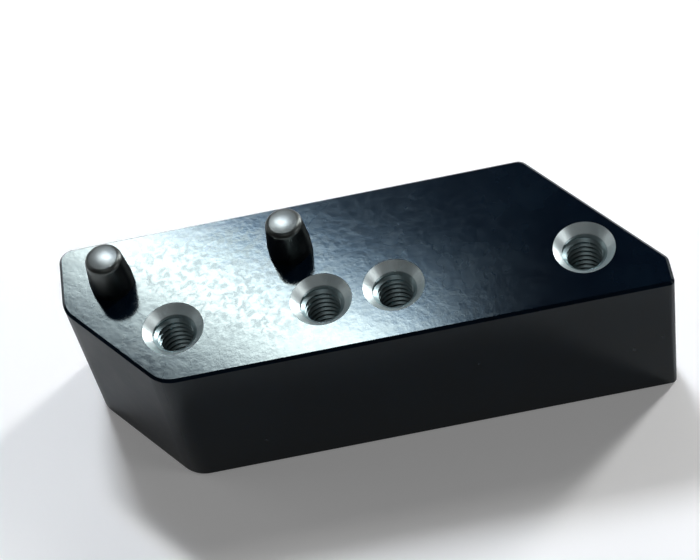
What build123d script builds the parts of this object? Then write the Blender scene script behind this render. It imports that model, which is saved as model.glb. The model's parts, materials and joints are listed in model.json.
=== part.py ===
from build123d import *
import os
from math import radians, tan

os.makedirs("parts", exist_ok=True)

# Mounting block sawn and milled from square bar, with both ends mitred, four tapped
# and countersunk holes along the front, and two dowel pins pressed in along the back.
# Millimetres, +Z up. The origin is under the middle of the bar, on the seating face.
# +X runs along the bar and the front face, with the tapped holes next to it, looks to -Y.

# Bar stock
block_length = 81.0
bar_width = 25.0
bar_height = 25.0

# Mitred ends: each cut takes off one corner of the plan, front left and back right, and
# leaves a narrow strip of the bar's square end beside it.
left_mitre_along = 12.2
left_end_strip = 10.2
right_mitre_along = 15.8
right_end_strip = 4.4

# Hand finish: upright corners rounded, those of the left mitre most and the right front
# corner hardly, and the sharp rims of both flat faces broken.
left_back_corner_radius = 2.0
left_mitre_corner_radius = 4.5
right_mitre_corner_radius = 1.5
right_front_corner_radius = 0.8
rim_break = 0.4

# Tapped holes, M6 coarse. The wall of the threaded length is drawn at the thread's
# major diameter, and the tap drill goes on below it to a drill point.
tap_hole_from_left = (14.7, 34.9, 44.8, 70.6)
tap_hole_from_front = 8.4
thread_major_diameter = 6.0
tap_drill_diameter = 5.0
thread_depth = 12.0
tap_drill_depth = 16.0
drill_point_angle = 118.0
countersink_diameter = 8.4
countersink_angle = 90.0

# Dowel pins, pressed into reamed blind holes. The standing end is straight at its foot,
# then tapers to a rounded nose that leads the mating hole on.
pin_from_left = 7.2
pin_spacing = 24.7
pin_from_back = 7.2
pin_diameter = 6.0
pin_length = 16.0
pin_stand_out = 6.2
pin_stand_straight = 1.2
pin_nose_diameter = 5.0
pin_nose_round = 0.8
pin_crown_height = 0.33
pin_press_clearance = 0.0
pin_lead_chamfer = 0.5
pin_hole_spare_depth = 0.8


# Places that follow from the sizes above
left_end = -block_length / 2
right_end = block_length / 2
front_face = -bar_width / 2
back_face = bar_width / 2
top_face = bar_height
tap_hole_row = front_face + tap_hole_from_front
pin_row = back_face - pin_from_back
pin_seat_depth = pin_length - pin_stand_out
pin_hole_diameter = pin_diameter + pin_press_clearance


def blind_hole(diameter, depth):
    """A drilled blind hole with its mouth at Z = 0: straight to depth, then the drill point."""
    radius = diameter / 2
    point = radius / tan(radians(drill_point_angle / 2))
    with BuildPart() as hole:
        with BuildSketch(Plane.XZ):
            Polygon(
                (0, 1),
                (radius, 1),
                (radius, -depth),
                (0, -depth - point),
                align=None,
            )
        revolve(axis=Axis.Z)
    return hole.part


def tapped_hole():
    """Countersink, threaded length and tap drill as one cutter, mouth at Z = 0."""
    thread_radius = thread_major_diameter / 2
    rim_radius = countersink_diameter / 2
    slope = tan(radians(countersink_angle / 2))
    sink_depth = (rim_radius - thread_radius) / slope
    flare = rim_radius + slope
    with BuildPart() as cutter:
        with BuildSketch(Plane.XZ):
            Polygon(
                (0, 1),
                (flare, 1),
                (thread_radius, -sink_depth),
                (thread_radius, -thread_depth),
                (0, -thread_depth),
                align=None,
            )
        revolve(axis=Axis.Z)
        add(blind_hole(tap_drill_diameter, tap_drill_depth))
    return cutter.part


def dowel_pin():
    """Ground pin with its lower end at Z = 0: lead chamfer below, tapered nose on top.

    The length inside the hole and the end that stands out are joined without merging
    their walls, so the standing end has a face of its own to fit a mating piece to.
    """
    radius = pin_diameter / 2
    nose_radius = pin_nose_diameter / 2
    nose_top = pin_length - pin_crown_height
    crown_radius = (nose_radius**2 + pin_crown_height**2) / (2 * pin_crown_height)
    with BuildPart() as pin:
        with BuildSketch():
            Circle(radius)
        extrude(amount=pin_seat_depth)
        chamfer(pin.edges().group_by(Axis.Z)[0], pin_lead_chamfer)
        with BuildSketch(Plane.XZ) as standing_end:
            with BuildLine():
                Polyline(
                    (0, pin_seat_depth),
                    (radius, pin_seat_depth),
                    (radius, pin_seat_depth + pin_stand_straight),
                    (nose_radius, nose_top),
                )
                RadiusArc((nose_radius, nose_top), (0, pin_length), -crown_radius)
                Line((0, pin_length), (0, pin_seat_depth))
            make_face()
            nose_corner = standing_end.vertices().sort_by_distance((nose_radius, nose_top))[0]
            fillet(nose_corner, pin_nose_round)
        revolve(axis=Axis.Z, clean=False)
    return pin.part


# The bar, cut to its mitred outline: each corner with the radius it is rounded to
corners = [
    ((left_end + left_mitre_along, front_face), left_mitre_corner_radius),
    ((right_end, front_face), right_front_corner_radius),
    ((right_end, front_face + right_end_strip), right_mitre_corner_radius),
    ((right_end - right_mitre_along, back_face), right_mitre_corner_radius),
    ((left_end, back_face), left_back_corner_radius),
    ((left_end, back_face - left_end_strip), left_mitre_corner_radius),
]
with BuildPart() as block:
    with BuildSketch() as outline:
        Polygon(*[place for place, radius in corners], align=None)
        for place, radius in corners:
            fillet(outline.vertices().sort_by_distance(place)[0], radius)
    extrude(amount=bar_height)
    rims = block.edges().group_by(Axis.Z)[0] + block.edges().group_by(Axis.Z)[-1]
    chamfer(rims, rim_break)

    # Tapped holes along the front
    with Locations(*[(left_end + along, tap_hole_row, top_face) for along in tap_hole_from_left]):
        add(tapped_hole(), mode=Mode.SUBTRACT)

    # Reamed holes for the dowels along the back
    pin_places = [
        (left_end + pin_from_left, pin_row, top_face),
        (left_end + pin_from_left + pin_spacing, pin_row, top_face),
    ]
    with Locations(*pin_places):
        add(
            blind_hole(pin_hole_diameter, pin_seat_depth + pin_hole_spare_depth),
            mode=Mode.SUBTRACT,
        )

export_step(block.part, "parts/mounting_block.step")

# The two dowels, each standing out of its hole by the same height
dowels = [
    Pos(along, across, top - pin_seat_depth) * dowel_pin() for along, across, top in pin_places
]
export_step(dowels[0], "parts/dowel_pin_left.step")
export_step(dowels[1], "parts/dowel_pin_right.step")
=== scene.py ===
import json
from math import cos, pi, radians, sin

import bmesh
import bpy
from mathutils import Euler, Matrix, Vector


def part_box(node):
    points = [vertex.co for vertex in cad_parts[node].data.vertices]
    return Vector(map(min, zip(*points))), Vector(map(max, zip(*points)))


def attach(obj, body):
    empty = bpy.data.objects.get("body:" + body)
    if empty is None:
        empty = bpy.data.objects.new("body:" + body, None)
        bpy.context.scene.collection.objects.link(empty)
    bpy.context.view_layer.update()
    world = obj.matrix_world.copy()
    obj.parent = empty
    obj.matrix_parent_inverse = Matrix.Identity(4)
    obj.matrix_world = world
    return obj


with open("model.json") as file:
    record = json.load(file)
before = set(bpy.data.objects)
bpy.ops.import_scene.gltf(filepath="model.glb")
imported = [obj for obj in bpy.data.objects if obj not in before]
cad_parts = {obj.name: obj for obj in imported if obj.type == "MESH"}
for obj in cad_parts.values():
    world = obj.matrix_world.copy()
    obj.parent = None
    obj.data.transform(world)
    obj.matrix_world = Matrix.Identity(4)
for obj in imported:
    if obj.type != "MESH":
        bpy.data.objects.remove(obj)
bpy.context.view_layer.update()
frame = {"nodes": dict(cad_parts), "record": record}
scene = bpy.context.scene

# --- Camera ------------------------------------------------------------------------------
# Stands in front of the block's long face, well above it, and is rolled a little so that
# the bar climbs to the right.
CAMERA_AZIMUTH = radians(3.001)
CAMERA_ELEVATION = radians(54.487)
CAMERA_ROLL = radians(13.640)
CAMERA_DISTANCE = 0.28468
CAMERA_LENS = 109.320
CAMERA_AIM_OFFSET = Vector((-0.00133, -0.00196, 0.0))

block_low, block_high = (Vector(corner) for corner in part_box("mounting_block"))
top_face_height = block_high.z
top_face_centre = Vector(
    ((block_low.x + block_high.x) / 2, (block_low.y + block_high.y) / 2, top_face_height)
)

camera_data = bpy.data.cameras.new("camera")
camera_data.lens = CAMERA_LENS
camera_data.sensor_width = 36.0
camera_data.clip_start = 0.01
camera = bpy.data.objects.new("camera", camera_data)
scene.collection.objects.link(camera)
camera_turn = Euler((pi / 2 - CAMERA_ELEVATION, 0, CAMERA_AZIMUTH)).to_matrix()
camera_turn = camera_turn @ Euler((0, 0, -CAMERA_ROLL)).to_matrix()
camera.location = (
    top_face_centre + CAMERA_AIM_OFFSET + CAMERA_DISTANCE * (camera_turn @ Vector((0, 0, 1)))
)
camera.rotation_euler = camera_turn.to_euler()
scene.camera = camera

# --- Floor and light ---------------------------------------------------------------------
# A matt white table, lit from behind the block. The top face mirrors a short soft box
# that is hottest along its tube. Weaker boxes all round fill the rest.
FLOOR_SIZE = 6.0
FLOOR_WHITE = (0.95, 0.95, 0.95, 1)
FLOOR_ROUGHNESS = 0.9
GLOW_WHITE = (1.0, 1.0, 1.0, 1)
GLOW_STRENGTH = 0.12
ROOM_WHITE = (1.0, 1.0, 1.0, 1)
ROOM_STRENGTH = 0.05
LAMP_COLOUR = (1.0, 0.995, 0.99)
FILL_DISTANCE = 1.0
# azimuth and elevation in degrees, width and height in metres, power in watts
FILL_BOXES = (
    ("back_soft_box", 180, 26, 0.9, 0.3, 0.9),
    ("right_reflector", 127, 40, 0.10, 0.5, 3.4),
    ("back_left_box", 245, 28, 0.6, 0.5, 0.6),
    ("front_fill", 0, 60, 0.4, 0.3, 0.33),
    ("right_front_card", 68, 26, 0.3, 0.3, 0.8),
    ("low_right_card", 126, 9, 0.24, 0.25, 4.2),
)
TUBE_AIM_OFFSET = Vector((-0.0252, 0, 0))
TUBE_WHITE = (1.0, 1.0, 1.0, 1)
TUBE_EDGE_BLUE = (0.36, 0.60, 1.0, 1)
# on each side of the tube: where the full blue starts and where it has gone, both counted
# in cores from the middle line, and the whiteness that is left in it
TUBE_EDGES = ((-1.6, -0.2, 0.0), (1.7, 0.5, 0.6))
NATURAL_BASE = 2.718


class Nodes:
    """Short way to place and wire shader nodes in one tree."""

    def __init__(self, tree):
        self.tree = tree

    def add(self, kind, inputs=(), **settings):
        node = self.tree.nodes.new(kind)
        for key, value in settings.items():
            setattr(node, key, value)
        for key, value in dict(inputs).items():
            self.feed(node, key, value)
        return node

    def feed(self, node, key, value):
        socket = node.inputs[key]
        if isinstance(value, bpy.types.NodeSocket):
            self.tree.links.new(value, socket)
        else:
            socket.default_value = value

    def place(self):
        return self.add("ShaderNodeTexCoord").outputs["Object"]

    def maths(self, operation, first, second=0.0):
        node = self.add("ShaderNodeMath", {0: first, 1: second}, operation=operation)
        return node.outputs[0]

    def length(self, vector):
        node = self.add("ShaderNodeVectorMath", {0: vector}, operation="LENGTH")
        return node.outputs["Value"]

    def remap(self, value, low, high, to_low, to_high):
        ends = {"From Min": low, "From Max": high, "To Min": to_low, "To Max": to_high}
        return self.add("ShaderNodeMapRange", {"Value": value, **ends}).outputs[0]

    def noise(self, place, scale, detail, roughness, distortion=0.0):
        node = self.add("ShaderNodeTexNoise")
        self.feed(node, "Vector", place)
        self.feed(node, "Scale", scale)
        self.feed(node, "Detail", detail)
        self.feed(node, "Roughness", roughness)
        self.feed(node, "Distortion", distortion)
        return node.outputs["Fac"]

    def mix_colour(self, amount, first, second):
        node = self.add("ShaderNodeMix", data_type="RGBA")
        self.feed(node, "Factor", amount)
        self.feed(node, 6, first)
        self.feed(node, 7, second)
        return node.outputs[2]

    def mix_value(self, amount, first, second):
        node = self.add("ShaderNodeMix", data_type="FLOAT")
        self.feed(node, 0, amount)
        self.feed(node, 2, first)
        self.feed(node, 3, second)
        return node.outputs[0]

    def bump(self, height, strength, distance):
        node = self.add("ShaderNodeBump", {"Height": height})
        node.inputs["Strength"].default_value = strength
        node.inputs["Distance"].default_value = distance
        return node.outputs[0]


def new_material(name):
    material = bpy.data.materials.new(name)
    material.use_nodes = True
    return material, Nodes(material.node_tree), material.node_tree.nodes["Principled BSDF"]


def white_table():
    """Matt white, a little whiter to the eye and in mirrors, with no more light on the block."""
    material, nodes, shader = new_material("white_table")
    shader.inputs["Base Color"].default_value = FLOOR_WHITE
    shader.inputs["Roughness"].default_value = FLOOR_ROUGHNESS
    shader.inputs["Specular IOR Level"].default_value = 0.0
    path = nodes.add("ShaderNodeLightPath")
    seen = path.outputs["Is Camera Ray"]
    for kind in ("Is Glossy Ray", "Is Transmission Ray"):
        seen = nodes.maths("MAXIMUM", seen, path.outputs[kind])
    shader.inputs["Emission Color"].default_value = GLOW_WHITE
    nodes.feed(shader, "Emission Strength", nodes.maths("MULTIPLY", seen, GLOW_STRENGTH))
    return material


def soft_box(name, aim, azimuth, elevation, distance, width, height, power, lean=0.0):
    """An area light that looks at aim from the given direction, azimuth counted from -Y."""
    data = bpy.data.lights.new(name, "AREA")
    data.shape = "RECTANGLE"
    data.size = width
    data.size_y = height
    data.energy = power
    data.color = LAMP_COLOUR
    light = bpy.data.objects.new(name, data)
    direction = Vector(
        (
            sin(azimuth) * cos(elevation),
            -cos(azimuth) * cos(elevation),
            sin(elevation),
        )
    )
    light.location = aim + distance * direction
    facing = direction.to_track_quat("Z", "Y").to_matrix()
    light.rotation_euler = (facing @ Euler((0, 0, lean)).to_matrix()).to_euler()
    scene.collection.objects.link(light)
    return data


def tube_profile(data, core, skirt, skirt_share, flat_half):
    """Make a soft box brightest along its long middle line, and bluer towards its edges."""
    data.color = (1, 1, 1)
    data.use_nodes = True
    nodes = Nodes(data.node_tree)
    spot = nodes.add("ShaderNodeNewGeometry").outputs["Parametric"]
    split = nodes.add("ShaderNodeSeparateXYZ", {0: spot})

    def bell(offset, spread):
        share = nodes.maths("DIVIDE", offset, spread)
        square = nodes.maths("MULTIPLY", share, share)
        return nodes.maths("POWER", NATURAL_BASE, nodes.maths("MULTIPLY", square, -1.0))

    across, along = (
        nodes.maths("MULTIPLY", nodes.maths("SUBTRACT", split.outputs[axis], 0.5), extent)
        for axis, extent in ((0, data.size), (1, data.size_y))
    )
    past_flat = nodes.maths("SUBTRACT", nodes.maths("ABSOLUTE", along), flat_half)
    ends = bell(nodes.maths("MAXIMUM", past_flat, 0.0), core)
    hot = nodes.maths("MULTIPLY", bell(across, core), ends)
    soft = nodes.maths("MULTIPLY", bell(across, skirt), ends)
    soft = nodes.maths("MULTIPLY", soft, skirt_share)
    whiteness = [
        nodes.remap(across, core * outer, core * inner, least, 1.0)
        for outer, inner, least in TUBE_EDGES
    ]
    tint = nodes.mix_colour(
        nodes.maths("MINIMUM", *whiteness), TUBE_EDGE_BLUE, TUBE_WHITE
    )
    emission = data.node_tree.nodes["Emission"]
    nodes.feed(emission, "Color", tint)
    nodes.feed(emission, "Strength", nodes.maths("ADD", hot, soft))


floor_mesh = bpy.data.meshes.new("floor")
floor_form = bmesh.new()
bmesh.ops.create_grid(floor_form, x_segments=1, y_segments=1, size=FLOOR_SIZE / 2)
floor_form.to_mesh(floor_mesh)
floor_form.free()
floor_mesh.materials.append(white_table())
floor = bpy.data.objects.new("floor", floor_mesh)
floor.location.z = block_low.z
scene.collection.objects.link(floor)

scene.world = bpy.data.worlds.new("room")
scene.world.use_nodes = True
room = scene.world.node_tree.nodes["Background"]
room.inputs["Color"].default_value = ROOM_WHITE
room.inputs["Strength"].default_value = ROOM_STRENGTH

back_strip = soft_box(
    "back_strip_box",
    aim=top_face_centre + TUBE_AIM_OFFSET,
    azimuth=radians(186.5),
    elevation=radians(54.5),
    distance=0.6,
    width=0.30,
    height=0.24,
    power=26.0,
    lean=radians(48),
)
tube_profile(back_strip, core=0.022, skirt=0.06, skirt_share=0.02, flat_half=0.065)
for name, azimuth, elevation, width, height, power in FILL_BOXES:
    soft_box(
        name,
        aim=top_face_centre,
        azimuth=radians(azimuth),
        elevation=radians(elevation),
        distance=FILL_DISTANCE,
        width=width,
        height=height,
        power=power,
    )

# --- Mounting block ----------------------------------------------------------------------
# Square aluminium bar, milled, rumbled and dyed blue-black in the anodising bath, glossier
# on top than on its drawn sides and milled ends. The tapped holes and their countersinks
# were cut afterwards, so they are bare metal, bright in the countersinks and much darker in the
# bore.
ANODISE_DARK = (0.0006, 0.0022, 0.0060, 1)
ANODISE_LIGHT = (0.0012, 0.0045, 0.0100, 1)
ANODISE_SPECK = (0.03, 0.036, 0.042, 1)
ANODISE_SPECK_SHARE = 0.02
ANODISE_SPECK_STRENGTH = 0.5
FILM_TINT = (0.80, 0.98, 0.96, 1)
FILM_SPECULAR = 0.15
BARE_ALUMINIUM = (0.80, 0.90, 0.91, 1)
# much darker colour given to the bare metal in the bore below the countersinks
BORE_ALUMINIUM = (0.24, 0.32, 0.34, 1)
BARE_ROUGHNESS = 0.40
TOP_ROUGHNESS = (0.078, 0.098)
TOP_SMUDGE = (0.0, 0.03)
DRAWN_ROUGHNESS = (0.17, 0.22)
MILLED_ROUGHNESS = (0.38, 0.44)
COUNTERSINK_RADIUS = 0.0042
COUNTERSINK_DEPTH = 0.0012
DRILLED_DEPTH = 0.018
RIM_BREAK = 0.0004
RIM_FADE = 0.00002
BORE_FADE = 0.0001
# upright corners at the left and at the right end, and how far each drops behind the long
# side, in its own radii, while it passes from drawn to milled
FRONT_CORNER_RADII = (0.0045, 0.0008)
BACK_CORNER_RADII = (0.0020, 0.0015)
MILLED_TURN = (0.03, 0.25)
# where hands and tools have dulled the top: between the dowels and the first holes, where
# it is patchy, and a faint place in front of the last hole. Each has its middle, its half
# length and half width, how patchy it is and the roughness that it adds.
WORN_PLACES = (
    ((-0.0195, 0.0005), (0.0150, 0.0110), 1.0, 0.045),
    ((0.0160, -0.0065), (0.0095, 0.0060), 0.0, 0.013),
)
WORN_EDGE = (0.75, 1.15)
WORN_RAGGEDNESS = (-0.25, 0.25)
MOTTLE_SPREAD = (0.42, 0.62)
PATCH_SPREAD = (0.46, 0.60)
TURNED_RING_PITCH = 0.00016
GRAIN_HEIGHT = 0.5
RING_HEIGHT = 0.12

# how far the smudges of the handling marks reach in a finish and in a colour
SMUDGE_SPREAD = (0.3, 0.7)
TONE_SPREAD = (0.35, 0.65)
BROAD_SMUDGE = 0.7
FINE_SMUDGE = 0.3
SPECK_EDGE = (0.10, 0.20)

tapped_holes = [
    Vector(mount["pos_m"])
    for mount in frame["record"]["mounts"]
    if mount["kind"] == "threaded_hole"
]


def handling_marks():
    """Shared effect: soft smudges and small specks that handling leaves on a finish."""
    group = bpy.data.node_groups.new("handling_marks", "ShaderNodeTree")
    group.interface.new_socket("Place", in_out="INPUT", socket_type="NodeSocketVector")
    group.interface.new_socket("Speck Share", in_out="INPUT", socket_type="NodeSocketFloat")
    group.interface.new_socket("Smudge", in_out="OUTPUT", socket_type="NodeSocketFloat")
    group.interface.new_socket("Speck", in_out="OUTPUT", socket_type="NodeSocketFloat")
    nodes = Nodes(group)
    given = nodes.add("NodeGroupInput")
    result = nodes.add("NodeGroupOutput")
    place = given.outputs["Place"]
    broad = nodes.noise(place, scale=95, detail=4, roughness=0.6, distortion=0.6)
    fine = nodes.noise(place, scale=420, detail=2, roughness=0.5)
    smudge = nodes.maths(
        "ADD",
        nodes.maths("MULTIPLY", broad, BROAD_SMUDGE),
        nodes.maths("MULTIPLY", fine, FINE_SMUDGE),
    )
    cells = nodes.add("ShaderNodeTexVoronoi", {"Vector": place, "Scale": 520}, feature="F1")
    near = nodes.remap(cells.outputs["Distance"], *SPECK_EDGE, 1.0, 0.0)
    chosen = nodes.add("ShaderNodeSeparateColor", {"Color": cells.outputs["Color"]})
    picked = nodes.maths("LESS_THAN", chosen.outputs[0], given.outputs["Speck Share"])
    nodes.feed(result, "Smudge", smudge)
    nodes.feed(result, "Speck", nodes.maths("MULTIPLY", near, picked))
    return group


marks_group = handling_marks()


def place_marks(nodes, place, speck_share):
    """Put the handling marks in one material, and give their smudge and their specks."""
    wanted = {"Place": place, "Speck Share": speck_share}
    marks = nodes.add("ShaderNodeGroup", wanted, node_tree=marks_group)
    return marks.outputs["Smudge"], marks.outputs["Speck"]


def bare_metal(nodes, along, across, up):
    """Where the tools cut through the anodise, and how far off the nearest hole's axis is."""
    nearest = None
    for hole in tapped_holes:
        offset = nodes.add("ShaderNodeCombineXYZ")
        nodes.feed(offset, 0, nodes.maths("SUBTRACT", along, hole.x))
        nodes.feed(offset, 1, nodes.maths("SUBTRACT", across, hole.y))
        distance = nodes.length(offset.outputs[0])
        nearest = distance if nearest is None else nodes.maths("MINIMUM", nearest, distance)
    bare = nodes.maths("LESS_THAN", nearest, COUNTERSINK_RADIUS + RIM_FADE)
    below_top = nodes.maths("LESS_THAN", up, top_face_height - RIM_FADE)
    above_floor = nodes.maths("GREATER_THAN", up, top_face_height - DRILLED_DEPTH)
    for limit in (below_top, above_floor):
        bare = nodes.maths("MULTIPLY", bare, limit)
    return bare, nearest


def anodise_roughness(nodes, place, smudge, along, across, up):
    """Satin on top with its worn places, duller on the drawn sides and the milled ends."""
    mottle = nodes.noise(place, scale=1150, detail=2.5, roughness=0.55, distortion=0.5)
    satin = nodes.maths(
        "ADD",
        nodes.remap(smudge, *SMUDGE_SPREAD, *TOP_SMUDGE),
        nodes.remap(mottle, *MOTTLE_SPREAD, *TOP_ROUGHNESS),
    )
    for middle, half, patchiness, added in WORN_PLACES:
        from_middle = nodes.add("ShaderNodeCombineXYZ")
        for axis, coordinate in enumerate((along, across)):
            offset = nodes.maths("SUBTRACT", coordinate, middle[axis])
            nodes.feed(from_middle, axis, nodes.maths("DIVIDE", offset, half[axis]))
        reach = nodes.length(from_middle.outputs[0])
        raggedness = nodes.remap(smudge, *SMUDGE_SPREAD, *WORN_RAGGEDNESS)
        worn = nodes.remap(nodes.maths("ADD", reach, raggedness), *WORN_EDGE, 1.0, 0.0)
        patchy = nodes.remap(mottle, *PATCH_SPREAD, 1.0 - patchiness, 1.0)
        dulled = nodes.maths("MULTIPLY", nodes.maths("MULTIPLY", worn, patchy), added)
        satin = nodes.maths("ADD", satin, dulled)
    right_half = nodes.maths("GREATER_THAN", along, top_face_centre.x)
    corner = nodes.mix_value(
        nodes.maths("GREATER_THAN", across, top_face_centre.y),
        nodes.mix_value(right_half, *FRONT_CORNER_RADII),
        nodes.mix_value(right_half, *BACK_CORNER_RADII),
    )
    off_middle = nodes.maths("ABSOLUTE", nodes.maths("SUBTRACT", across, top_face_centre.y))
    dropped = nodes.maths("SUBTRACT", block_high.y - top_face_centre.y, off_middle)
    milled_end = nodes.remap(nodes.maths("DIVIDE", dropped, corner), *MILLED_TURN, 0.0, 1.0)
    lower_rim = nodes.maths("LESS_THAN", up, block_low.z + RIM_BREAK)
    side = nodes.mix_value(
        nodes.maths("MAXIMUM", milled_end, lower_rim),
        nodes.remap(smudge, *SMUDGE_SPREAD, *DRAWN_ROUGHNESS),
        nodes.remap(smudge, *SMUDGE_SPREAD, *MILLED_ROUGHNESS),
    )
    return nodes.mix_value(
        nodes.maths("LESS_THAN", up, top_face_height - RIM_BREAK), satin, side
    )


def black_anodised_aluminium():
    """Blue-black anodise with a rumbled grain, and turned bare metal in the holes."""
    material, nodes, shader = new_material("black_anodised_aluminium")
    place = nodes.place()
    along, across, up = nodes.add("ShaderNodeSeparateXYZ", {"Vector": place}).outputs
    bare, nearest = bare_metal(nodes, along, across, up)
    smudge, speck = place_marks(nodes, place, ANODISE_SPECK_SHARE)

    dye = nodes.mix_colour(
        nodes.remap(smudge, *TONE_SPREAD, 0.0, 1.0), ANODISE_DARK, ANODISE_LIGHT
    )
    speck = nodes.maths("MULTIPLY", speck, ANODISE_SPECK_STRENGTH)
    dye = nodes.mix_colour(speck, dye, ANODISE_SPECK)
    # below the countersink's foot the bare metal takes the much darker bore colour
    bore_mouth = top_face_height - COUNTERSINK_DEPTH
    deep = nodes.remap(up, bore_mouth - BORE_FADE, bore_mouth + BORE_FADE, 1.0, 0.0)
    metal = nodes.mix_colour(deep, BARE_ALUMINIUM, BORE_ALUMINIUM)
    nodes.feed(shader, "Base Color", nodes.mix_colour(bare, dye, metal))
    nodes.feed(shader, "Metallic", bare)

    satin = anodise_roughness(nodes, place, smudge, along, across, up)
    nodes.feed(shader, "Roughness", nodes.mix_value(bare, satin, BARE_ROUGHNESS))
    shader.inputs["Specular IOR Level"].default_value = FILM_SPECULAR
    shader.inputs["Specular Tint"].default_value = FILM_TINT

    grain = nodes.noise(place, scale=700, detail=3.5, roughness=0.6)
    rings = nodes.maths("SINE", nodes.maths("MULTIPLY", nearest, 2 * pi / TURNED_RING_PITCH))
    height = nodes.mix_value(
        bare,
        nodes.maths("MULTIPLY", grain, GRAIN_HEIGHT),
        nodes.maths("MULTIPLY", rings, RING_HEIGHT),
    )
    nodes.feed(shader, "Normal", nodes.bump(height, strength=0.55, distance=0.00003))
    return material


block = frame["nodes"]["mounting_block"]
block.data.materials.clear()
block.data.materials.append(black_anodised_aluminium())

# --- Threads in the tapped holes ---------------------------------------------------------
# The ridge of an M6 coarse thread, left standing by the tap in the bare aluminium. The
# countersink was cut through its first turn.
THREAD_DARK = (0.26, 0.35, 0.37, 1)
THREAD_LIGHT = (0.36, 0.46, 0.48, 1)
THREAD_ROUGHNESS = (0.28, 0.36)
PITCH = 0.001
MAJOR_RADIUS = 0.003
MINOR_RADIUS = 0.002459
CREST_WIDTH = 0.00022
ROOT_WIDTH = 0.00080
WALL_BITE = 0.00003
THREAD_DEPTH = 0.012
THREAD_STEPS = 56

countersink_foot = top_face_height - (COUNTERSINK_RADIUS - MAJOR_RADIUS)


def tapped_aluminium():
    """Bare aluminium, greyer in the threads than in the countersinks."""
    material, nodes, shader = new_material("tapped_aluminium")
    smudge, _ = place_marks(nodes, nodes.place(), speck_share=0.0)
    tone = nodes.mix_colour(
        nodes.remap(smudge, *TONE_SPREAD, 0.0, 1.0), THREAD_DARK, THREAD_LIGHT
    )
    nodes.feed(shader, "Base Color", tone)
    shader.inputs["Metallic"].default_value = 1.0
    nodes.feed(shader, "Roughness", nodes.remap(smudge, *SMUDGE_SPREAD, *THREAD_ROUGHNESS))
    return material


def thread_ridge(hole):
    """One ridge, wound up from the end of the thread to the foot of the countersink."""
    form = bmesh.new()
    foot = top_face_height - THREAD_DEPTH + ROOT_WIDTH / 2
    corners = [
        (MAJOR_RADIUS + WALL_BITE, -ROOT_WIDTH / 2),
        (MINOR_RADIUS, -CREST_WIDTH / 2),
        (MINOR_RADIUS, CREST_WIDTH / 2),
        (MAJOR_RADIUS + WALL_BITE, ROOT_WIDTH / 2),
    ]
    section = form.faces.new(
        [form.verts.new((hole.x + out, hole.y, foot + up)) for out, up in corners]
    )
    steps = round((countersink_foot - foot) / PITCH * THREAD_STEPS)
    bmesh.ops.spin(
        form,
        geom=[section] + list(section.edges) + list(section.verts),
        cent=(hole.x, hole.y, 0),
        axis=(0, 0, 1),
        dvec=(0, 0, PITCH / THREAD_STEPS),
        angle=steps * 2 * pi / THREAD_STEPS,
        steps=steps,
        use_merge=False,
        use_duplicate=False,
    )
    bmesh.ops.recalc_face_normals(form, faces=form.faces)
    # the countersink's cone cuts back whatever of the ridge stands in it
    for vert in form.verts:
        out = Vector((vert.co.x - hole.x, vert.co.y - hole.y))
        cone = MAJOR_RADIUS + (vert.co.z - countersink_foot)
        if vert.co.z > countersink_foot:
            cone += WALL_BITE
        if out.length < cone:
            out = out.normalized() * cone
            vert.co.x, vert.co.y = hole.x + out.x, hole.y + out.y
    return form


thread_metal = tapped_aluminium()
for number, hole in enumerate(tapped_holes, start=1):
    mesh = bpy.data.meshes.new(f"thread_{number}")
    ridge = thread_ridge(hole)
    ridge.to_mesh(mesh)
    ridge.free()
    mesh.materials.append(thread_metal)
    thread = bpy.data.objects.new(f"thread_{number}", mesh)
    scene.collection.objects.link(thread)
    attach(thread, "root")

# --- Dowel pins --------------------------------------------------------------------------
# Hardened steel dowels, blackened, ground on the diameter and crowned on the end, pressed
# into reamed holes at the back of the block.
STEEL_DARK = (0.070, 0.078, 0.076, 1)
STEEL_LIGHT = (0.115, 0.126, 0.122, 1)
STEEL_ROUGHNESS = (0.29, 0.37)
STEEL_SPECK_SHARE = 0.03
GRINDING_STRETCH = (1, 1, 14)


def dark_hardened_steel():
    """Blackened steel with the fine grinding lines that run round a ground pin."""
    material, nodes, shader = new_material("dark_hardened_steel")
    place = nodes.place()
    smudge, _ = place_marks(nodes, place, STEEL_SPECK_SHARE)
    tone = nodes.mix_colour(
        nodes.remap(smudge, *TONE_SPREAD, 0.0, 1.0), STEEL_DARK, STEEL_LIGHT
    )
    nodes.feed(shader, "Base Color", tone)
    shader.inputs["Metallic"].default_value = 1.0
    nodes.feed(shader, "Roughness", nodes.remap(smudge, *SMUDGE_SPREAD, *STEEL_ROUGHNESS))
    stretched = nodes.add("ShaderNodeMapping", {"Vector": place, "Scale": GRINDING_STRETCH})
    grinding = nodes.noise(stretched.outputs[0], scale=900, detail=3, roughness=0.6)
    nodes.feed(shader, "Normal", nodes.bump(grinding, strength=0.25, distance=0.00001))
    return material


dowel_steel = dark_hardened_steel()
for name in ("dowel_pin_left", "dowel_pin_right"):
    dowel = frame["nodes"][name]
    dowel.data.materials.clear()
    dowel.data.materials.append(dowel_steel)

# --- View transform ----------------------------------------------------------------------
scene.view_settings.view_transform = "Standard"
